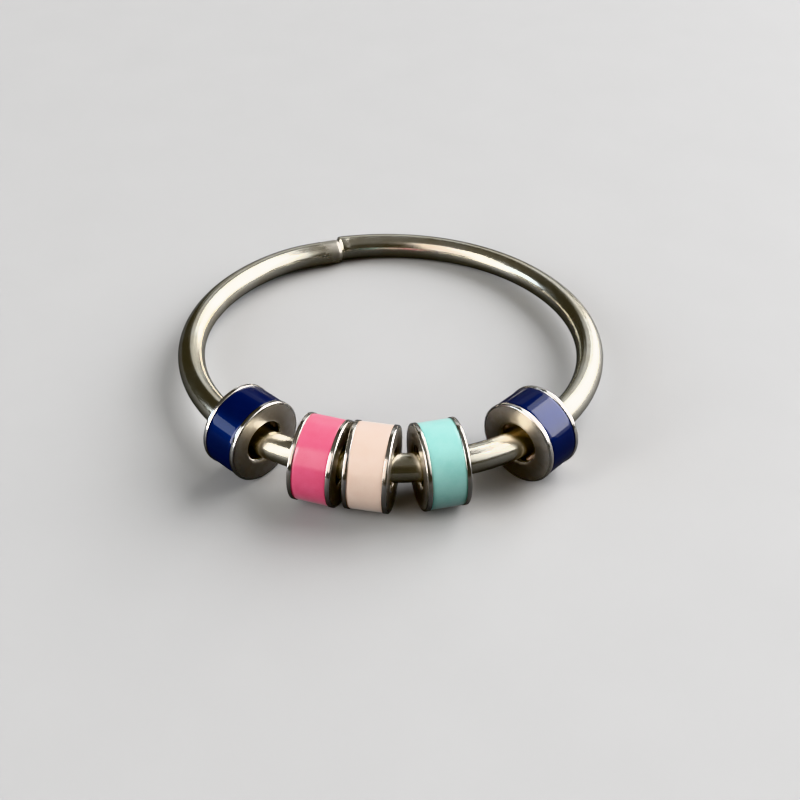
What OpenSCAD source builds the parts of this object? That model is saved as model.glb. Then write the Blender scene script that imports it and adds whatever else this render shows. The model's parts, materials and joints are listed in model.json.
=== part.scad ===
// Spinner ring: a round wire band with a row of loose enamelled beads that spin on it.
// It is drawn as it lies by itself on a flat surface. The beads stand on the surface, and the
// wire, which rests in the bores of the beads, is lifted by them at the front of the ring.

/* [Band] */
// Inner diameter of the band, which is the ring size
finger_d = 17; // [15:0.1:20]
// Diameter of the round wire
wire_d = 1.2; // [1:0.05:1.4]
// Place of the solder seam, in degrees from the front of the band towards the left
seam_at = 162; // [120:1:170]
// Length of the solder seam along the wire
seam_l = 0.5; // [0.3:0.05:1]
// How far the solder stands proud of the wire
seam_rise = 0.02; // [0.01:0.005:0.03]

/* [Bead] */
// Outer diameter of a bead
bead_d = 3.6; // [3.2:0.1:4.4]
// Width of a bead along the wire
bead_w = 1.8; // [1.4:0.1:2.4]
// How much wider the bore is than the wire
bore_play = 0.5; // [0.4:0.05:0.8]
// Rounding of the two mouths of the bore
lip_round = 0.2; // [0.05:0.05:0.3]
// Width of the metal rim at each end of a bead
rim_w = 0.2; // [0.15:0.05:0.35]
// Rounding of the outer edge of a rim
rim_round = 0.06; // [0.02:0.01:0.1]
// Depth of the channel between the rims
channel_depth = 0.35; // [0.2:0.05:0.45]
// How far the enamel lies below the rims
enamel_drop = 0.02; // [0:0.01:0.1]
// Gap between the enamel and the metal on each side
enamel_gap = 0.01; // [0.01:0.005:0.03]

/* [Row] */
// Place of the first bead, in degrees from the front of the band towards the left
row_start = 39; // [30:1:45]
// Smallest gap between the wire and the bore that it rests in
rest_gap = 0.02; // [0.01:0.01:0.05]

/* [Hidden] */
$fn = 96;

// The columns of the table of beads
NAME = 0;
SPACE = 1;
TURN = 2;
COLOUR = 3;
// The row from left to right. The space is the gap to the bead before it at their closest corners,
// as a share of the bead's width. The turn is how far the bead lies askew on the wire, as a share
// of the play in its bore, and is positive where the bead's right end points into the ring.
BEADS = [
    ["navy_left", 0, -0.16, "#101c58"],
    ["pink", 0.52, 0.03, "#f4557f"],
    ["peach", 0.03, -0.38, "#f6d3bd"],
    ["mint", 0.085, 0.08, "#8fdcc8"],
    ["navy_right", 0.87, 0.36, "#0c1670"],
];

// Band
wire_r = wire_d / 2;
band_r = (finger_d + wire_d) / 2;

// Bead
bead_r = bead_d / 2;
bead_half = bead_w / 2;
bore_r = (wire_d + bore_play) / 2;
channel_r = bead_r - channel_depth;
channel_w = bead_w - 2 * rim_w;
// The band bends away from a bead's straight bore by this much from its middle to its ends
sagitta = band_r - sqrt(band_r * band_r - bead_half * bead_half);
// A bead sits this far from the centre of the band, so that the bent wire is centred in its bore
seat_r = band_r - sagitta / 2;

function sleeve_name(bead) = str(bead[NAME], "_sleeve");
function enamel_name(bead) = str(bead[NAME], "_enamel");

// How far a bead's axis is turned from the wire's direction
function turn(bead) = asin(bead[TURN] * bore_play / 2 / bead_half);

// The angle at the band's centre between a bead's middle and its inner corner
function reach(bead, side) =
    let (t = turn(bead))
    atan2(bead_half * cos(t) - side * bead_r * sin(t), seat_r - side * bead_half * sin(t) - bead_r * cos(t));

// The angle at the band's centre that the space before a bead takes
function space(bead) = 2 * asin(bead[SPACE] * bead_w / 2 / (seat_r - bead_r));

// Where a bead is round the band, from the front towards the right
function place(i) =
    i == 0 ? -row_start : place(i - 1) + reach(BEADS[i - 1], 1) + space(BEADS[i]) + reach(BEADS[i], -1);

row = [for (i = [0:len(BEADS) - 1]) i];
places = [for (i = row) place(i)];
headings = [for (i = row) places[i] + turn(BEADS[i])];

// The tilt of the band as it lies: its back is on the surface, and its front is carried by the bore
// where the wire is lowest. There the wire's centre is this far below the bead's axis.
function wire_drop(bead) =
    sqrt(pow(bore_play / 2 - rest_gap, 2) - pow(bead_half * abs(sin(turn(bead))) + sagitta / 2, 2));
function tilt_sine(i) =
    (bead_r - wire_drop(BEADS[i]) - wire_r)
    / (band_r * (1 + cos(places[i])) - bead_half * abs(sin(places[i])));
tilt = asin(max([for (i = row) tilt_sine(i)]));
band_z = wire_r + band_r * sin(tilt);

// The middle of the whole, from front to back, is at the origin
function bead_y(i) = -seat_r * cos(places[i]) * cos(tilt);
function bead_depth(i) =
    (bead_r - rim_round) * cos(headings[i]) + (bead_half - rim_round) * abs(sin(headings[i])) + rim_round;
back_y = band_r * cos(tilt) + wire_r;
front_y = min([for (i = row) bead_y(i) - bead_depth(i)]);
band_y = -(back_y + front_y) / 2;

// The band: the wire's circle, and a short thicker stretch where it is soldered
module band() {
    seam_turn = seam_l / band_r * 180 / PI;
    color("#cfc39a")
    translate([0, band_y, band_z])
    rotate([-tilt, 0, 0])
    union() {
        rotate_extrude()
            translate([band_r, 0])
            circle(r = wire_r);
        rotate([0, 0, -90 - seam_at - seam_turn / 2])
            rotate_extrude(angle = seam_turn)
            translate([band_r, 0])
            circle(r = wire_r + seam_rise);
    }
}

// What is cut away to round the corner of a section. The corner is at the origin, and the section
// lies below it and to its left.
module outside_round(r) {
    translate([-r, -r])
    difference() {
        square(2 * r);
        circle(r = r);
    }
}

// A bead's sleeve: half of its section, the radius along X and the bead's axis along Y. The cut for
// the channel runs well past the outside.
module sleeve_section() {
    difference() {
        translate([bore_r, -bead_half]) square([bead_r - bore_r, bead_w]);
        translate([channel_r, -channel_w / 2]) square([bead_r, channel_w]);
        for (end = [0, 1]) mirror([0, end]) {
            translate([bead_r, bead_half]) outside_round(rim_round);
            translate([bore_r, bead_half]) mirror([1, 0]) outside_round(lip_round);
        }
    }
}

module sleeve() {
    color("#d9d3c0") rotate_extrude() sleeve_section();
}

// The ring of enamel in the sleeve's channel
module enamel(colour) {
    inner_r = channel_r + enamel_gap;
    color(colour)
    rotate_extrude()
        translate([inner_r, enamel_gap - channel_w / 2])
        square([bead_r - enamel_drop - inner_r, channel_w - 2 * enamel_gap]);
}

// Stands a bead on the surface with its axis along the wire
module on_wire(i) {
    translate([seat_r * sin(places[i]), band_y + bead_y(i), bead_r])
    rotate([0, 0, headings[i]])
    rotate([0, 90, 0])
        children();
}

band();
for (i = row) {
    on_wire(i) sleeve();
    on_wire(i) enamel(BEADS[i][COLOUR]);
}
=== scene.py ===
# %% [markdown]
# A spinner ring for restless fingers: a round wire band with five short spools on it, each a
# metal sleeve with a channel full of enamel. The spools are loose, so they turn and click against
# each other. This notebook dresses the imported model: it takes every place from the model's frame,
# builds finer meshes where the frame's solids are, gives them polished metal and enamel, and
# lights them with windows, because windows are what such metal shows.

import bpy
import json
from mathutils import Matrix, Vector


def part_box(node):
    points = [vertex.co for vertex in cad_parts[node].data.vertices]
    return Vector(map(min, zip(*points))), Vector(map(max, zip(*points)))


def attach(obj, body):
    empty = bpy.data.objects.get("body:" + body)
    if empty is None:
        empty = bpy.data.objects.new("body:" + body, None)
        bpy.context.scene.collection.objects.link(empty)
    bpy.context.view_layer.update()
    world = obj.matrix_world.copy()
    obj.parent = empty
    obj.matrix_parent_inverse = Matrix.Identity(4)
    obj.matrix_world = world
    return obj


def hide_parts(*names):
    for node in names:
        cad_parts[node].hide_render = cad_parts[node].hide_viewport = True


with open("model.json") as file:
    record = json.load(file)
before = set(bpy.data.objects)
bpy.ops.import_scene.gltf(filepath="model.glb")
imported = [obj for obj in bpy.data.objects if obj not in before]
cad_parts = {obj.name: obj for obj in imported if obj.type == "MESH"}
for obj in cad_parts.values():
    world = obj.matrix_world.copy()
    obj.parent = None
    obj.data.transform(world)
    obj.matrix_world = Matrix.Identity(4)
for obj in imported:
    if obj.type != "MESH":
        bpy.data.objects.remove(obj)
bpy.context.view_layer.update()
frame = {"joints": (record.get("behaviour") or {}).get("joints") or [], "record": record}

# %% [markdown]
# Everything else comes from Python's own library and from Blender. bmesh shapes the meshes, and
# mathutils has the vectors and matrices that put them in their places.

# %% Tools of the trade
import json
import math

import bmesh
import bpy
from mathutils import Matrix, Vector

MM = 0.001

# %% [markdown]
# The frame's record says where the ring is and how big it is. The mount in the band gives the
# band's centre, its axis and the thickness of its wire, and each joint gives a spool's centre and
# the axis that it spins about. Reading them here, and not typing them again, keeps the looks on
# the construction if the ring is made in another size.

# %% Sizes from the frame
finger_hole = next(mount for mount in frame["record"]["mounts"] if mount["name"] == "finger_hole")
band_centre = Vector(finger_hole["pos_m"])
band_axis = Vector(finger_hole["axis"])
wire_r = finger_hole["dims"]["length_mm"] * MM / 2
band_r = finger_hole["dims"]["r_mm"] * MM + wire_r

spools = {}
for joint in frame["joints"]:
    name = joint["child"].removesuffix("_bead")
    spools[name] = {
        "body": joint["child"],
        "centre": Vector(joint["pos_m"]),
        "axis": Vector(joint["axis"]),
    }
spool_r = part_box("mint_sleeve")[1].z / 2
print("wire", wire_r, "band", band_r, "spool", spool_r, "spools", list(spools))

# %% [markdown]
# The rest of a spool's section isn't written in the record, so its few sizes are named here as
# they are on the bench. The sleeve is turned from a rod: a wide bore with rounded mouths, and a
# channel between two thin rims. The enamel fills the channel almost to the top, and like any
# liquid that hardens it stands a hair higher in the middle than along its edges.

# %% Sizes of a spool
SPOOL_W = 1.8 * MM
BORE_R = 0.85 * MM
RIM_W = 0.2 * MM
CHANNEL_DEPTH = 0.35 * MM
LIP_ROUND = 0.2 * MM
RIM_ROUND = 0.06 * MM
EDGE_BREAK = 0.015 * MM
ENAMEL_GAP = 0.006 * MM
ENAMEL_DROP = 0.03 * MM
ENAMEL_CROWN = 0.005 * MM
ENAMEL_ROUND = 0.03 * MM

# %% [markdown]
# A new mesh becomes an object the same way each time. While a piece is made it lies at the origin,
# with its own axis along X or Z, and that is also how its finish should see it: scratches follow
# the wire and turning marks follow the spool. So each point first notes where it lies on the piece
# in an attribute of its own, and only then the mesh is moved to its place on the ring.

# %% From bmesh to piece
SHARP_ABOVE = math.radians(50)
SAME_POINT = 0.0001 * MM


def make_piece(name, bm, place, material, body, nodes):
    """Turns a bmesh into a finished object that rides on a body and stands for its CAD nodes."""
    bmesh.ops.remove_doubles(bm, verts=bm.verts, dist=SAME_POINT)
    bmesh.ops.recalc_face_normals(bm, faces=bm.faces)
    mesh = bpy.data.meshes.new(name)
    bm.to_mesh(mesh)
    bm.free()
    own_place = mesh.attributes.new("own_place", "FLOAT_VECTOR", "POINT")
    for vertex in mesh.vertices:
        own_place.data[vertex.index].vector = vertex.co
    mesh.transform(place)
    mesh.shade_smooth()
    mesh.set_sharp_from_angle(angle=SHARP_ABOVE)
    mesh.materials.append(material)
    piece = bpy.data.objects.new(name, mesh)
    bpy.context.scene.collection.objects.link(piece)
    even = piece.modifiers.new("flat faces stay flat", "WEIGHTED_NORMAL")
    even.keep_sharp = True
    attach(piece, body)
    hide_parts(*nodes)
    print(name, len(mesh.vertices), "points,", len(mesh.polygons), "faces")


# %% [markdown]
# Finishes are written as sums. A shader's nodes can be wired by hand, but a formula is far easier
# to read, so a socket is wrapped in a small class whose plus, minus and times add Math nodes.
# The reflected forms let a plain number stand on the left, as in 1 - mask.

# %% Sums on sockets
class Value:
    """A number that changes over a surface."""

    def __init__(self, finish, socket):
        self.finish = finish
        self.socket = socket

    def __add__(self, other):
        return self.finish.sum("ADD", self, other)

    def __sub__(self, other):
        return self.finish.sum("SUBTRACT", self, other)

    def __rsub__(self, other):
        return self.finish.sum("SUBTRACT", other, self)

    def __mul__(self, other):
        return self.finish.sum("MULTIPLY", self, other)

    def __pow__(self, other):
        return self.finish.sum("POWER", self, other)

    def __abs__(self):
        return self.finish.sum("ABSOLUTE", self)

    __radd__ = __add__
    __rmul__ = __mul__


# %% [markdown]
# A finish is one material under construction. Every node that isn't a sum comes from its one
# method: the kind of node, its settings, which are set first because they can change its sockets,
# and what goes into the sockets, either a number, a colour or the output of another node.

# %% A finish and its nodes
# A Mix node's sockets for colours come after those for numbers and vectors
FIRST_COLOUR = 6
SECOND_COLOUR = 7
COLOUR_RESULT = 2
# How many finer layers of noise lie on the first one
SMOOTH = 1.0
USUAL = 2.0
FRAYED = 3.0


class Finish:
    """The node tree of a material, or of the room, and the few helpers that all finishes share."""

    def __init__(self, owner, shader="Principled BSDF"):
        owner.use_nodes = True
        self.tree = owner.node_tree
        self.shader = self.tree.nodes[shader]

    def plug(self, socket, item):
        if isinstance(item, Value):
            self.tree.links.new(item.socket, socket)
        else:
            socket.default_value = item

    def node(self, kind, settings, inputs, output=0):
        made = self.tree.nodes.new(kind)
        for key, setting in settings.items():
            setattr(made, key, setting)
        for key, item in inputs.items():
            self.plug(made.inputs[key], item)
        return Value(self, made.outputs[output])

    def sum(self, operation, *items):
        """A Math node with the given values or numbers in its sockets."""
        return self.node("ShaderNodeMath", {"operation": operation}, dict(enumerate(items)))

    def shade(self, **inputs):
        """Sets the shader's sockets. Their names are written with underscores."""
        for key, item in inputs.items():
            self.plug(self.shader.inputs[key.replace("_", " ")], item)

    def own_place(self):
        """Where a point lies on its own piece, in millimetres."""
        place = self.node("ShaderNodeAttribute", {"attribute_name": "own_place"}, {}, "Vector")
        return self.node("ShaderNodeVectorMath", {"operation": "SCALE"}, {0: place, "Scale": 1 / MM})

    def split(self, vector):
        node = self.node("ShaderNodeSeparateXYZ", {}, {0: vector})
        outputs = node.socket.node.outputs
        return [Value(self, output) for output in outputs]

    def join(self, x, y, z):
        return self.node("ShaderNodeCombineXYZ", {}, {0: x, 1: y, 2: z})

    def noise(self, vector, size, detail=USUAL):
        """Soft noise from 0 to 1, with blots of about the given size, in the vector's own unit."""
        inputs = {"Vector": vector, "Scale": 1 / size, "Detail": detail}
        return self.node("ShaderNodeTexNoise", {"noise_dimensions": "3D"}, inputs)

    def ramp(self, value, low, high):
        """Goes from 0 at the low value to 1 at the high one along a smooth step."""
        inputs = {"Value": value, "From Min": low, "From Max": high}
        return self.node("ShaderNodeMapRange", {"interpolation_type": "SMOOTHSTEP"}, inputs)

    def blend(self, factor, first, second):
        """Goes from the first colour to the second one as the factor goes from 0 to 1."""
        inputs = {0: factor, FIRST_COLOUR: first, SECOND_COLOUR: second}
        return self.node("ShaderNodeMix", {"data_type": "RGBA"}, inputs, COLOUR_RESULT)

    def bump(self, height_um):
        """Turns a height in thousandths of a millimetre into a bent normal."""
        inputs = {"Strength": 1.0, "Distance": MM / 1000, "Height": height_um}
        return self.node("ShaderNodeBump", {}, inputs)


# %% [markdown]
# The metal is pale champagne gold, a plating over a harder alloy. Polished metal has almost no
# colour of its own beyond a tint: what one sees is the room, so the finish only needs a tint that
# drifts a little, a roughness that isn't quite even, and a normal that wavers. The wavering is
# what tells a real, hand-polished wire from a computed one. On the wire everything is stretched
# along its length, because that is how it was drawn and buffed. The angle round the band gives
# that direction, and the place where the angle jumps is hidden in the solder. The numbers of the
# finish come first and apart, because they are what one turns until the metal looks right.

# %% Numbers of the band's gold
GOLD_PALE = (0.88, 0.84, 0.73, 1)
GOLD_DEEP = (0.81, 0.75, 0.61, 1)
SOLDER_GREY = (0.60, 0.56, 0.49, 1)
# In millimetres: how fine the marks, the buffing and the swells are, how far the solder reaches from
# the seam and how softly it ends, and between which heights on the wire it comes in
MARK_SIZE = 0.035
BUFFING_SIZE = 0.16
SWELL_SIZE = 1.6
SOLDER_L = 1.4
SOLDER_FADE = 0.5
SOLDER_HEIGHTS = (-0.45, 0.1)
# How much the marks and the buffing are stretched along the wire: the smaller, the longer
MARK_PACE = 0.06
BUFFING_PACE = 0.35
# Between which values of its noise each comes in
MARKS_SHOW = (0.4, 0.75)
BUFFING_SHOWS = (0.4, 0.7)
SWELL_TINTS = (0.35, 0.65)
# The roughness of the clean metal, and what the rest adds to it
GOLD_ROUGH = 0.19
MARK_ROUGH = 0.03
BUFFING_ROUGH = 0.04
SOLDER_ROUGH = 0.15
# Heights in thousandths of a millimetre
SWELL_HEIGHT = 6.0
BUFFING_HEIGHT = 0.12
print("gold of the band:", GOLD_PALE[:3], "to", GOLD_DEEP[:3])

# %% [markdown]
# The finish then goes from a place to a look: where a point lies along the wire and across it, the
# three noises there, the patch of solder, and last what goes into the shader. Metallic is 1 all
# over, because nothing is half a metal.

# %% Gold of the band
def band_finish():
    """Polished wire with draw marks along it and a duller patch of solder."""
    material = bpy.data.materials.new("band gold")
    gold = Finish(material)
    x, y, z = gold.split(gold.own_place())
    turn = gold.sum("ARCTAN2", y, x)
    along = turn * (band_r / MM)
    out = (x * x + y * y) ** 0.5 - band_r / MM
    drawn = gold.join(along * MARK_PACE, out, z)
    rolled = gold.join(along * BUFFING_PACE, out, z)
    marks = gold.noise(drawn, MARK_SIZE, FRAYED)
    buffing = gold.noise(rolled, BUFFING_SIZE)
    swell = gold.noise(gold.join(along, out, z), SWELL_SIZE)
    from_seam = along + math.pi * band_r / MM
    solder = gold.ramp(from_seam + swell, SOLDER_L + SOLDER_FADE, SOLDER_L - SOLDER_FADE)
    solder = solder * gold.ramp(z, *SOLDER_HEIGHTS)
    tint = gold.blend(gold.ramp(swell, *SWELL_TINTS), GOLD_PALE, GOLD_DEEP)
    roughness = GOLD_ROUGH + gold.ramp(marks, *MARKS_SHOW) * MARK_ROUGH
    roughness = roughness + gold.ramp(buffing, *BUFFING_SHOWS) * BUFFING_ROUGH
    gold.shade(
        Base_Color=gold.blend(solder, tint, SOLDER_GREY),
        Metallic=1.0,
        Roughness=roughness + solder * SOLDER_ROUGH,
        Normal=gold.bump(swell * SWELL_HEIGHT + buffing * BUFFING_HEIGHT),
    )
    return material


band_gold = band_finish()
print("finish:", band_gold.name)

# %% [markdown]
# A spool is turned, so its marks run round its own axis: fine rings on the end faces and in the
# bore, which come from noise that is stretched all the way round. Its plating is a touch whiter
# than the band's, with the faint warm blots that fingers leave where no polishing reaches. The end
# faces are duller than the rims. Their colour is painted darker towards the bore as shade, and the
# bore itself is painted dark brown as the shade inside the hole.

# %% Numbers of the spools' metal
SPOOL_SILVER = (0.88, 0.85, 0.81, 1)
SPOOL_WARM = (0.78, 0.71, 0.60, 1)
FACE_TAUPE = (0.84, 0.80, 0.74, 1)
# The deeper face colour serves both the warm blots and the painted shade towards the bore
FACE_BLOT_AND_SHADE_BROWN = (0.64, 0.58, 0.50, 1)
# The bore is painted dark brown as the shade inside the hole
BORE_SHADE_BROWN = (0.32, 0.27, 0.23, 1)
# In millimetres: how fine the turned rings, the warm blots and the swells are
RING_SIZE = 0.03
BLOT_SIZE = 0.55
WAVE_SIZE = 0.9
# How deep in the mouth of the bore the end face comes in, then how deep and how wide the bore does
FACE_FROM = 0.5 * LIP_ROUND
FACE_FULL = 0.1 * LIP_ROUND
BORE_FROM = 0.6 * LIP_ROUND
BORE_EDGE = 0.8 * LIP_ROUND
# How far from the rim the painted shade on an end face begins, and how far from the bore it is darkest
BORE_SHADE_FROM = 0.15 * MM
BORE_SHADE_FULL = 0.1 * MM
# Between which values of their noise the blots come in, and how much the blots and the painted
# shade towards the bore tint the metal
BLOTS_SHOW = (0.42, 0.68)
BLOT_TINT = 0.6
BORE_SHADE_TINT = 0.4
# The roughness of the clean rims, and what the rest adds to it
RIM_ROUGH = 0.10
BLOT_ROUGH = 0.08
RING_ROUGH = 0.05
FACE_ROUGH = 0.20
# Heights in thousandths of a millimetre
WAVE_HEIGHT = 3.0
RING_HEIGHT = 0.15
print("metal of the spools:", SPOOL_SILVER[:3], "to", SPOOL_WARM[:3])

# %% [markdown]
# Two masks say where on the spool a point lies: on an end face, which is near the end and inside
# the rim, or in the bore. What is left is rim or channel. The tint and the roughness follow them,
# and the tint also carries painted shade: darker on the end faces towards the bore, dark brown in it.

# %% Metal of the spools
def spool_finish():
    """Turned and plated metal, smooth on the rims and a little cloudy on the end faces, with painted
    shade towards the bore and in it.
    """
    material = bpy.data.materials.new("spool metal")
    metal = Finish(material)
    place = metal.own_place()
    x, y, z = metal.split(place)
    radius = (y * y + z * z) ** 0.5
    rings = metal.noise(metal.join(x, radius, 0.0), RING_SIZE)
    blots = metal.noise(place, BLOT_SIZE, FRAYED)
    waves = metal.noise(place, WAVE_SIZE, SMOOTH)
    warm = metal.ramp(blots, *BLOTS_SHOW)
    end = SPOOL_W / 2
    face = metal.ramp(radius, (spool_r - RIM_ROUND) / MM, (spool_r - 2 * RIM_ROUND) / MM)
    face = face * metal.ramp(abs(x), (end - FACE_FROM) / MM, (end - FACE_FULL) / MM)
    # The bore mask lays the painted dark brown of the shade inside the hole
    bore = metal.ramp(abs(x), (end - BORE_FROM) / MM, (end - LIP_ROUND) / MM)
    bore = bore * metal.ramp(radius, (BORE_R + LIP_ROUND) / MM, (BORE_R + BORE_EDGE) / MM)
    rim = metal.blend(warm * BLOT_TINT, SPOOL_SILVER, SPOOL_WARM)
    # Painted shade: the end faces darken towards the bore
    bore_shade = metal.ramp(radius, (spool_r - BORE_SHADE_FROM) / MM, (BORE_R + BORE_SHADE_FULL) / MM)
    clouded_and_shaded = metal.blend(warm * BLOT_TINT + bore_shade * BORE_SHADE_TINT, FACE_TAUPE, FACE_BLOT_AND_SHADE_BROWN)
    metal.shade(
        Base_Color=metal.blend(bore, metal.blend(face, rim, clouded_and_shaded), BORE_SHADE_BROWN),
        Metallic=1.0,
        Roughness=RIM_ROUGH + warm * BLOT_ROUGH + rings * RING_ROUGH + face * FACE_ROUGH,
        Normal=metal.bump(waves * WAVE_HEIGHT + rings * RING_HEIGHT),
    )
    return material


spool_metal = spool_finish()
print("finish:", spool_metal.name)

# %% [markdown]
# Enamel is ground glass with a pigment in it, fired or cured in the channel and polished flush.
# It is opaque, so the colour sits in a diffuse base. The pigment is never quite even, it is
# painted darker along its edges against the metal as the shade in the groove there, and the
# polished surface keeps a slight orange peel. Blue enamel is glossy: a sharp clear coat shows the
# windows as panes, and a faint blue glitter keeps the rest of it from going black. The pale ones
# have a satin surface, on which the same windows are only lighter zones with soft borders. Each of
# the four colours has a light and a deep shade.

# %% Numbers of the enamels
ENAMEL_HALF = SPOOL_W / 2 - RIM_W
ENAMEL_SHADES = {
    "navy": ((0.001, 0.003, 0.032, 1), (0.001, 0.002, 0.018, 1)),
    "pink": ((0.820, 0.145, 0.260, 1), (0.720, 0.085, 0.170, 1)),
    "peach": ((0.880, 0.690, 0.570, 1), (0.810, 0.580, 0.465, 1)),
    "mint": ((0.310, 0.600, 0.550, 1), (0.190, 0.480, 0.430, 1)),
}
# How strongly the pigment itself glitters and in which tint, then how much clear gloss lies over it,
# how strongly and how roughly that reflects, and how much soft bloom shows at the edges
GLOSSY = (0.30, (0.0, 0.13, 1.0, 1), 0.6, 1.5, 0.03, 0.0)
SATIN = (0.0, (1.0, 1.0, 1.0, 1), 1.0, 1.8, 0.2, 0.3)
SURFACE_OF = {"navy": GLOSSY, "pink": SATIN, "peach": SATIN, "mint": SATIN}
# In millimetres: how big the clouds, the grain and the waves of the orange peel are, and how far
# from the metal the painted shade along the edges reaches
CLOUD_SIZE = 0.7
GRAIN_SIZE = 0.05
PEEL_SIZE = 0.35
EDGE_SHADE_W = 0.09
# Between which values of its noise each comes in, and how far it goes to the deep shade
CLOUDS_SHOW = (0.35, 0.7)
CLOUD_DEPTH = 0.35
GRAIN_SHOWS = (0.4, 0.6)
GRAIN_DEPTH = 0.10
# How far the painted shade along the edges goes to the deep shade
EDGE_SHADE_DEPTH = 0.5
# The roughness under the coat, what the grain adds to it, and the roughness of the bloom
PIGMENT_ROUGH = 0.3
GRAIN_ROUGHENS = (0.3, 0.7)
GRAIN_ROUGH = 0.1
BLOOM_ROUGH = 0.4
# In thousandths of a millimetre
PEEL_HEIGHT = 1.2
print("enamel shades:", list(ENAMEL_SHADES))

# %% [markdown]
# One function makes all four enamels. Only the colour, the roughness under the coat and the normal
# change from place to place. The coat and the bloom are the same all over, so they are set straight
# on the shader's sockets.

# %% Enamel
def enamel_finish(shade):
    """Opaque pigment under a clear, slightly wavy coat."""
    light, deep = ENAMEL_SHADES[shade]
    glitter, glitter_tint, coat, coat_index, coat_roughness, bloom = SURFACE_OF[shade]
    material = bpy.data.materials.new(shade + " enamel")
    enamel = Finish(material)
    place = enamel.own_place()
    x = enamel.split(place)[0]
    clouds = enamel.noise(place, CLOUD_SIZE, FRAYED)
    grain = enamel.noise(place, GRAIN_SIZE)
    peel = enamel.noise(place, PEEL_SIZE, SMOOTH)
    half = ENAMEL_HALF / MM
    # Painted shade along the edges where the enamel meets the metal
    edge_shade = enamel.ramp(abs(x), half - EDGE_SHADE_W, half)
    depth = enamel.ramp(clouds, *CLOUDS_SHOW) * CLOUD_DEPTH + edge_shade * EDGE_SHADE_DEPTH
    depth = depth + enamel.ramp(grain, *GRAIN_SHOWS) * GRAIN_DEPTH
    enamel.shade(
        Base_Color=enamel.blend(depth, light, deep),
        Roughness=PIGMENT_ROUGH + enamel.ramp(grain, *GRAIN_ROUGHENS) * GRAIN_ROUGH,
        Specular_IOR_Level=glitter,
        Specular_Tint=glitter_tint,
        Coat_Weight=coat,
        Coat_IOR=coat_index,
        Coat_Roughness=coat_roughness,
        Sheen_Weight=bloom,
        Sheen_Roughness=BLOOM_ROUGH,
        Normal=enamel.bump(peel * PEEL_HEIGHT),
    )
    return material


enamels = {shade: enamel_finish(shade) for shade in ENAMEL_SHADES}
print("enamels:", list(enamels))

# %% [markdown]
# The band is one wire bent to a circle. A curve with a bevel depth would make it in two lines, but
# its mesh couldn't be touched afterwards, and the solder seam needs exactly that. So a small
# circle is spun round the ring's axis instead. The spin's steps are short enough for the seam,
# which is only half a millimetre long, and a full spin merges its last ring with its first.

# %% Spin the wire
WIRE_SIDES = 40
BAND_STEPS = 960

wire = bmesh.new()
bmesh.ops.create_circle(wire, segments=WIRE_SIDES, radius=wire_r)
upright = Matrix.Rotation(math.radians(90), 4, "X")
bmesh.ops.transform(wire, matrix=Matrix.Translation((-band_r, 0, 0)) @ upright, verts=wire.verts)
bmesh.ops.spin(
    wire,
    geom=wire.verts[:] + wire.edges[:],
    cent=(0, 0, 0),
    axis=(0, 0, 1),
    angle=math.tau,
    steps=BAND_STEPS,
    use_merge=True,
)
print("wire:", len(wire.verts), "points")

# %% [markdown]
# The two ends of the wire were soldered by hand at the back left, and they don't quite meet: one
# end lies a little further in than the other, a notch is left beside the step, and the solder on
# the outer end is filed nearly flush. Each end comes back into line within two or three
# millimetres. The band is at this moment still flat and centred, with the seam on its -X side, so
# the shape is a short formula of a point's distance from the seam along the wire. The rings of
# points are first crowded towards the seam, where the small forms are.

# %% Shape the solder seam
CROWDING = 0.6
STEP_IN = 0.23 * MM
STEP_OUT = 0.04 * MM
STEP_L = 0.05 * MM
PULL_L = 1.9 * MM
SOLDER_SWELL = 0.02
SOLDER_AT = -0.27 * MM
SOLDER_SPREAD = 0.22 * MM
NOTCH = 0.06
NOTCH_AT = 0.09 * MM
NOTCH_SPREAD = 0.06 * MM


def bell(distance, width):
    return math.exp(-((distance / width) ** 2))


for vert in wire.verts:
    around = -math.atan2(vert.co.y, -vert.co.x)
    around -= CROWDING * math.sin(around)
    outward = Vector((-math.cos(around), -math.sin(around), 0))
    from_seam = around * band_r
    side = math.tanh(from_seam / STEP_L)
    inner_end = bell(from_seam, PULL_L) * (1 + side) / 2
    outer_end = bell(from_seam, PULL_L) * (1 - side) / 2
    thickness = 1 + SOLDER_SWELL * bell(from_seam - SOLDER_AT, SOLDER_SPREAD)
    thickness -= NOTCH * bell(from_seam - NOTCH_AT, NOTCH_SPREAD)
    out_of_line = (math.hypot(vert.co.x, vert.co.y) - band_r) * thickness
    height = vert.co.z * thickness
    vert.co = outward * (band_r + out_of_line + STEP_OUT * outer_end - STEP_IN * inner_end)
    vert.co.z = height

print("seam: a step of", round((STEP_IN + STEP_OUT) / MM, 2), "mm")

# %% [markdown]
# Now the band goes to its place. Seen from above, its seam is turned from the -X side to the back
# left, and then the whole ring takes the tilt with which it rests on its spools. The tilt is the
# turn that takes the Z axis to the axis of the finger hole.

# %% Place the band
SEAM_AT = 162

seam_turn = Matrix.Rotation(math.radians(90 - SEAM_AT), 4, "Z")
band_tilt = Vector((0, 0, 1)).rotation_difference(band_axis).to_matrix().to_4x4()
band_place = Matrix.Translation(band_centre) @ band_tilt @ seam_turn
make_piece("band_wire", wire, band_place, band_gold, "band", ["band"])
print("tilt in degrees:", round(math.degrees(band_axis.angle(Vector((0, 0, 1)))), 2))

# %% [markdown]
# Both parts of a spool are bodies of revolution, so both come from one helper: the corners of half
# a section are joined into a loop and spun about X, the spool's own axis. Corners that need a
# round are bevelled after the spin, where each one has become a hoop. A hoop is found by the
# corner that it came from: its distance along the axis and its radius.

# %% Turn a section into a ring
SPOOL_STEPS = 128
TOUCH = 0.002 * MM


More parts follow.
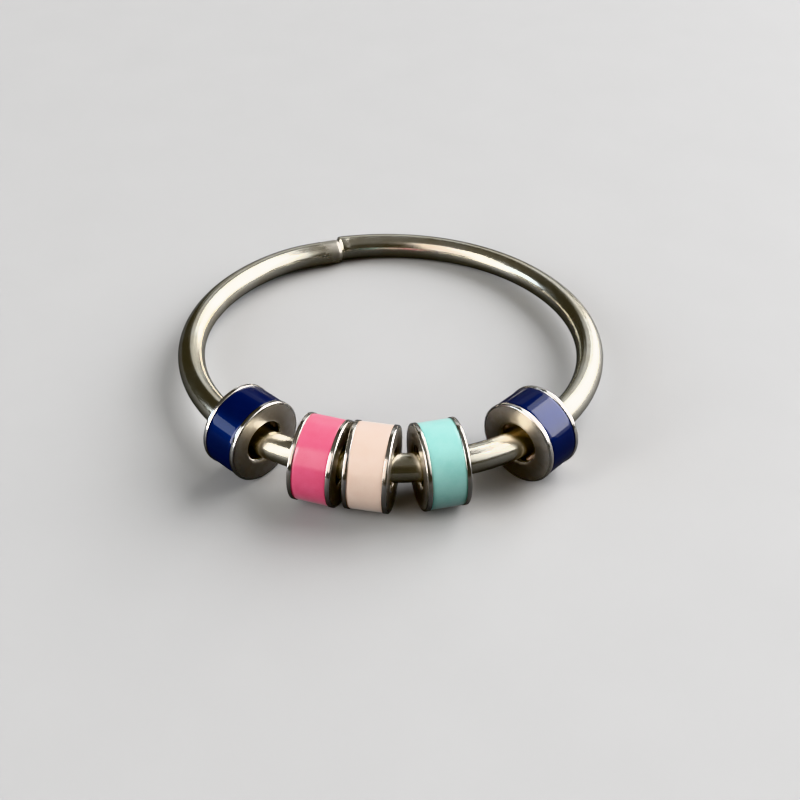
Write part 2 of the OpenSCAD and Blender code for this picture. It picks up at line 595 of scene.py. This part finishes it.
def turned(corners):
    """Spins a closed section, given as (along, radius) corners, about the X axis."""
    ring = bmesh.new()
    section = [ring.verts.new((along, 0, radius)) for along, radius in corners]
    for first, second in zip(section, section[1:] + section[:1]):
        ring.edges.new((first, second))
    bmesh.ops.spin(
        ring,
        geom=ring.verts[:] + ring.edges[:],
        cent=(0, 0, 0),
        axis=(1, 0, 0),
        angle=math.tau,
        steps=SPOOL_STEPS,
        use_merge=True,
    )
    bmesh.ops.remove_doubles(ring, verts=ring.verts, dist=SAME_POINT)
    bmesh.ops.recalc_face_normals(ring, faces=ring.faces)
    return ring


def on_hoop(vert, along, radius):
    return abs(vert.co.x - along) < TOUCH and abs(math.hypot(vert.co.y, vert.co.z) - radius) < TOUCH


def round_hoops(ring, hoops, offset, segments):
    """Bevels the hoops that pass through the given (along, radius) corners."""
    edges = [
        edge
        for edge in ring.edges
        if any(all(on_hoop(vert, along, radius) for vert in edge.verts) for along, radius in hoops)
    ]
    bmesh.ops.bevel(
        ring,
        geom=edges,
        offset=offset,
        offset_type="OFFSET",
        segments=segments,
        profile=0.5,
        affect="EDGES",
        material=-1,
    )


# %% [markdown]
# The sleeve's section has eight corners. The bore's mouths get the wide, soft round that keeps the
# spool from scraping the wire, the outer edges a small one that catches the light as a thin bright
# line, and the edges of the channel are only broken, as a file would leave them.

# %% The sleeve
MOUTH_SEGMENTS = 8
RIM_SEGMENTS = 5
BREAK_SEGMENTS = 2


def sleeve_mesh():
    end = SPOOL_W / 2
    wall = end - RIM_W
    floor = spool_r - CHANNEL_DEPTH
    mouths = [(-end, BORE_R), (end, BORE_R)]
    rims = [(-end, spool_r), (end, spool_r)]
    lips = [(-wall, spool_r), (wall, spool_r)]
    section = [mouths[0], rims[0], lips[0], (-wall, floor), (wall, floor), lips[1], rims[1], mouths[1]]
    ring = turned(section)
    round_hoops(ring, mouths, LIP_ROUND, MOUTH_SEGMENTS)
    round_hoops(ring, rims, RIM_ROUND, RIM_SEGMENTS)
    round_hoops(ring, lips, EDGE_BREAK, BREAK_SEGMENTS)
    return ring


# %% [markdown]
# The enamel is a plain ring at first. Its outer wall is cut into narrow bands, which are then
# lifted along a parabola, highest in the middle. The crown is only a two-hundredth of a
# millimetre, because a higher one would bend the panes that the windows draw on the blue enamel,
# and those are almost straight. Its two outer edges are rounded down towards the metal.

# %% The enamel
SHOULDER_SEGMENTS = 3
CROWN_CUTS = 9


def enamel_mesh():
    end = ENAMEL_HALF - ENAMEL_GAP
    low = spool_r - CHANNEL_DEPTH + ENAMEL_GAP
    top = spool_r - ENAMEL_DROP
    shoulders = [(-end, top), (end, top)]
    ring = turned([(-end, low), shoulders[0], shoulders[1], (end, low)])
    round_hoops(ring, shoulders, ENAMEL_ROUND, SHOULDER_SEGMENTS)
    across = [
        edge
        for edge in ring.edges
        if abs(edge.verts[0].co.x - edge.verts[1].co.x) > end
        and all(math.hypot(vert.co.y, vert.co.z) > top - TOUCH for vert in edge.verts)
    ]
    bmesh.ops.subdivide_edges(ring, edges=across, cuts=CROWN_CUTS, use_grid_fill=True)
    for vert in ring.verts:
        radius = math.hypot(vert.co.y, vert.co.z)
        if radius > top - TOUCH:
            lift = 1 + ENAMEL_CROWN * (1 - (vert.co.x / end) ** 2) / radius
            vert.co.y *= lift
            vert.co.z *= lift
    return ring


# %% [markdown]
# Five spools of one make stand on the ring, in four colours. A joint of the frame gives each one's
# centre and axis, and its place is the turn that takes X to that axis, followed by the move to the
# centre. Each spool also gets a roll of its own about that axis, so that no two show the same
# blots to the camera.

# %% Thread the spools
SHADE_OF = {"navy_left": "navy", "pink": "pink", "peach": "peach", "mint": "mint", "navy_right": "navy"}
ROLL_STEP = 71

for count, (name, spool) in enumerate(spools.items()):
    roll = Matrix.Rotation(math.radians(ROLL_STEP * count), 4, "X")
    facing = Vector((1, 0, 0)).rotation_difference(spool["axis"]).to_matrix().to_4x4()
    place = Matrix.Translation(spool["centre"]) @ facing @ roll
    shade = SHADE_OF[name]
    body = spool["body"]
    make_piece(
        name + "_spool", sleeve_mesh(), place, spool_metal, body, [name + "_sleeve"]
    )
    make_piece(
        name + "_glaze", enamel_mesh(), place, enamels[shade], body, [name + "_enamel"]
    )

# %% [markdown]
# The stage is a plain pale sheet: a wide disc and, round it, a sweep that rises as a photo studio's
# paper does, so that a low camera still has paper behind the ring and no hard horizon. Both are
# spun from a short profile, and nothing on them draws the eye. They are pale only where the camera
# looks at them. To every other ray the disc is dark, because polished metal that mirrors a pale
# floor loses its dark lines and looks like plaster. The sweep is there for the camera alone, or it
# would stand in front of the lowest windows.

# %% A spun sheet
SHEET_STEPS = 96


def spun_sheet(profile):
    """Spins a line of (out, up) points about the Z axis."""
    sheet = bmesh.new()
    points = [sheet.verts.new((out, 0, up)) for out, up in profile]
    for first, second in zip(points, points[1:]):
        sheet.edges.new((first, second))
    bmesh.ops.spin(
        sheet,
        geom=sheet.verts[:] + sheet.edges[:],
        cent=(0, 0, 0),
        axis=(0, 0, 1),
        angle=math.tau,
        steps=SHEET_STEPS,
        use_merge=True,
    )
    bmesh.ops.remove_doubles(sheet, verts=sheet.verts, dist=SAME_POINT)
    bmesh.ops.recalc_face_normals(sheet, faces=sheet.faces)
    return sheet


# %% [markdown]
# The tone of the sheet drifts a little, as that of paper does. Light Path tells whether the camera
# looks straight at it, and that chooses the sheet's colour. That is allowed to choose its colour
# because the sheet isn't part of the ring: a finish of the ring never does so.

# %% The sheet's two tones
PAPER_WHITE = (0.38, 0.38, 0.375, 1)
PAPER_SHADE = (0.36, 0.36, 0.355, 1)
PAPER_DARK = (0.030, 0.031, 0.032, 1)
PAPER_ROUGH = 0.7
DRIFT_SIZE = 4 * MM

paper_material = bpy.data.materials.new("paper")
paper_finish = Finish(paper_material)
coordinates = paper_finish.node("ShaderNodeTexCoord", {}, {}, "Object")
drift = paper_finish.noise(coordinates, DRIFT_SIZE, FRAYED)
sheet_tone = paper_finish.blend(drift, PAPER_WHITE, PAPER_SHADE)
seen_directly = paper_finish.node("ShaderNodeLightPath", {}, {}, "Is Camera Ray")
two_tones = paper_finish.blend(seen_directly, PAPER_DARK, sheet_tone)
paper_finish.shade(Base_Color=two_tones, Roughness=PAPER_ROUGH)
print("sheet:", PAPER_WHITE, "to the camera,", PAPER_DARK, "to the rest")

# %% [markdown]
# The sweep follows a quarter of an ellipse, which leaves the disc level and ends upright.

# %% The paper and its sweep
PAPER_R = 0.45
SWEEP_OUT = 0.25
SWEEP_UP = 0.09
SWEEP_CUTS = 12


def sweep_point(cut):
    quarter = math.radians(90) * cut / SWEEP_CUTS
    return PAPER_R + SWEEP_OUT * math.sin(quarter), SWEEP_UP * (1 - math.cos(quarter))


def lay_sheet(name, profile):
    sheet = spun_sheet(profile)
    mesh = bpy.data.meshes.new(name)
    sheet.to_mesh(mesh)
    sheet.free()
    mesh.shade_smooth()
    mesh.materials.append(paper_material)
    laid = bpy.data.objects.new(name, mesh)
    bpy.context.scene.collection.objects.link(laid)
    print(name, len(mesh.polygons), "faces")
    return laid


lay_sheet("paper", [(0, 0), (PAPER_R, 0)])
sweep = lay_sheet("sweep", [sweep_point(cut) for cut in range(SWEEP_CUTS + 1)])
sweep.visible_diffuse = False
sweep.visible_glossy = False
sweep.visible_shadow = False

# %% [markdown]
# A mirror-like object shows its lamps, so the lamps are placed by what the metal should show.
# They are upright panes round the ring, like the windows of a room. The wide one at the right
# draws the long glow on either side of the band and the pale pane on the right-hand blue enamel.
# The tall one at the left front draws the streak on the back of the band. The transoms light the
# tops of the spools and of the wire between them, and the sill, the curtains and the walls are
# dimmer and soften the ends of the glows. The right wall also brightens the front of the wire
# beside the right-hand blue spool. Elsewhere the room stays dark, and that is where the metal gets
# its dark lines. Each lamp is given by the direction in which it stands and by how wide and high it
# looks from the ring, because that is what shows in the metal.

# %% Windows
LAMP_DISTANCE = 2.0
# Name: where the window's middle stands, clockwise from the back, how wide it looks, and how high
# its sill and its top look, all in degrees as seen from the ring, then its colour and brightness
WINDOWS = {
    "right window": (61, 70, 12, 60, (1.0, 0.99, 1.01), 8.5),
    "right sill": (61, 70, 3, 12, (1.0, 1.0, 1.0), 1.8),
    "right curtain": (108, 24, 12, 60, (1.0, 1.0, 1.0), 1.9),
    "right wall": (128, 18, 16, 50, (1.0, 1.0, 1.0), 0.9),
    "transom": (18, 16, 30, 54, (0.97, 1.0, 1.02), 2.8),
    "low transom": (17, 18, 11, 30, (0.98, 1.0, 1.01), 0.5),
    "middle transom": (-2, 20, 20, 33, (0.98, 1.0, 1.01), 0.6),
    "back wall": (-8, 24, 4, 20, (0.97, 1.0, 1.0), 0.28),
    "left window": (-117, 20, 1, 52, (1.0, 1.0, 1.0), 9.5),
    "left wall": (-144, 34, 16, 64, (1.0, 0.88, 0.82), 1.4),
    "left curtain": (-94, 26, 13, 33, (0.87, 1.0, 1.15), 4.0),
}


def hang_window(name, direction, wide, sill, top, colour, brightness):
    """Stands an upright rectangular lamp round the ring, facing it."""
    turn = math.radians(direction)
    outward = Vector((math.sin(turn), math.cos(turn), 0))
    sill_z = LAMP_DISTANCE * math.tan(math.radians(sill))
    top_z = LAMP_DISTANCE * math.tan(math.radians(top))
    lamp = bpy.data.lights.new(name, "AREA")
    lamp.shape = "RECTANGLE"
    lamp.size = 2 * LAMP_DISTANCE * math.tan(math.radians(wide) / 2)
    lamp.size_y = top_z - sill_z
    lamp.color = colour
    lamp.energy = brightness * math.pi * lamp.size * lamp.size_y
    stand = bpy.data.objects.new(name, lamp)
    stand.location = outward * LAMP_DISTANCE + Vector((0, 0, (sill_z + top_z) / 2))
    stand.rotation_mode = "QUATERNION"
    stand.rotation_quaternion = outward.to_track_quat("Z", "Y")
    stand.visible_camera = False
    bpy.context.scene.collection.objects.link(stand)
    print(name, "power", round(lamp.energy, 3), "W")


for name, settings in WINDOWS.items():
    hang_window(name, *settings)

# %% [markdown]
# The room itself is a dim, slightly warm grey, a little lighter overhead. It gives the darks of
# the metal their olive tone. The camera alone sees a pale room behind the paper. The view
# transform is one made for products: it keeps their colours and only rolls off the brightest.

# %% The room
ROOM_DARK = (0.052, 0.049, 0.041, 1)
ROOM_TOP = (0.13, 0.126, 0.114, 1)
ROOM_PALE = (0.74, 0.74, 0.735, 1)
# How steeply upwards the walls end and the ceiling is reached, as the sine of that angle
CEILING = (0.6, 0.97)

room = bpy.data.worlds.new("room")
room_finish = Finish(room, "Background")
seen_directly = room_finish.node("ShaderNodeLightPath", {}, {}, "Is Camera Ray")
facing = room_finish.node("ShaderNodeTexCoord", {}, {}, "Generated")
upwards = room_finish.split(facing)[2]
walls = room_finish.blend(room_finish.ramp(upwards, *CEILING), ROOM_DARK, ROOM_TOP)
room_finish.shade(Color=room_finish.blend(seen_directly, walls, ROOM_PALE))
bpy.context.scene.world = room
bpy.context.scene.view_settings.view_transform = "Khronos PBR Neutral"
print("room:", ROOM_DARK, "behind the paper:", ROOM_PALE)

# %% [markdown]
# The camera stands where the picture was taken from: 40 degrees above the table and about five and
# a half centimetres away, with a lens that sees 36 degrees. It was found by fitting the band's
# circle and the five spools to the picture, which also showed that the camera was held less than a
# degree off the level.

# %% The camera
CAMERA_RISE = math.radians(40)
CAMERA_ROLL = math.radians(0.79)
CAMERA_DISTANCE = 55.03 * MM
LENS_MM = 55.02
AIM_X = 0.451 * MM
AIM_IN_FRONT = 2.711 * MM

aim = Vector((AIM_X, band_centre.y - AIM_IN_FRONT, 0))
back = Vector((0, -math.cos(CAMERA_RISE), math.sin(CAMERA_RISE)))
level_right = Vector((1, 0, 0))
level_up = back.cross(level_right)
right = level_right * math.cos(CAMERA_ROLL) + level_up * math.sin(CAMERA_ROLL)
up = back.cross(right)

camera_data = bpy.data.cameras.new("camera")
camera_data.lens = LENS_MM
camera_data.clip_start = 1 * MM
camera = bpy.data.objects.new("camera", camera_data)
looking = Matrix((right, up, back)).transposed().to_4x4()
camera.matrix_world = Matrix.Translation(aim + back * CAMERA_DISTANCE) @ looking
bpy.context.scene.collection.objects.link(camera)
bpy.context.scene.camera = camera
print("camera at", [round(c / MM, 2) for c in camera.location])
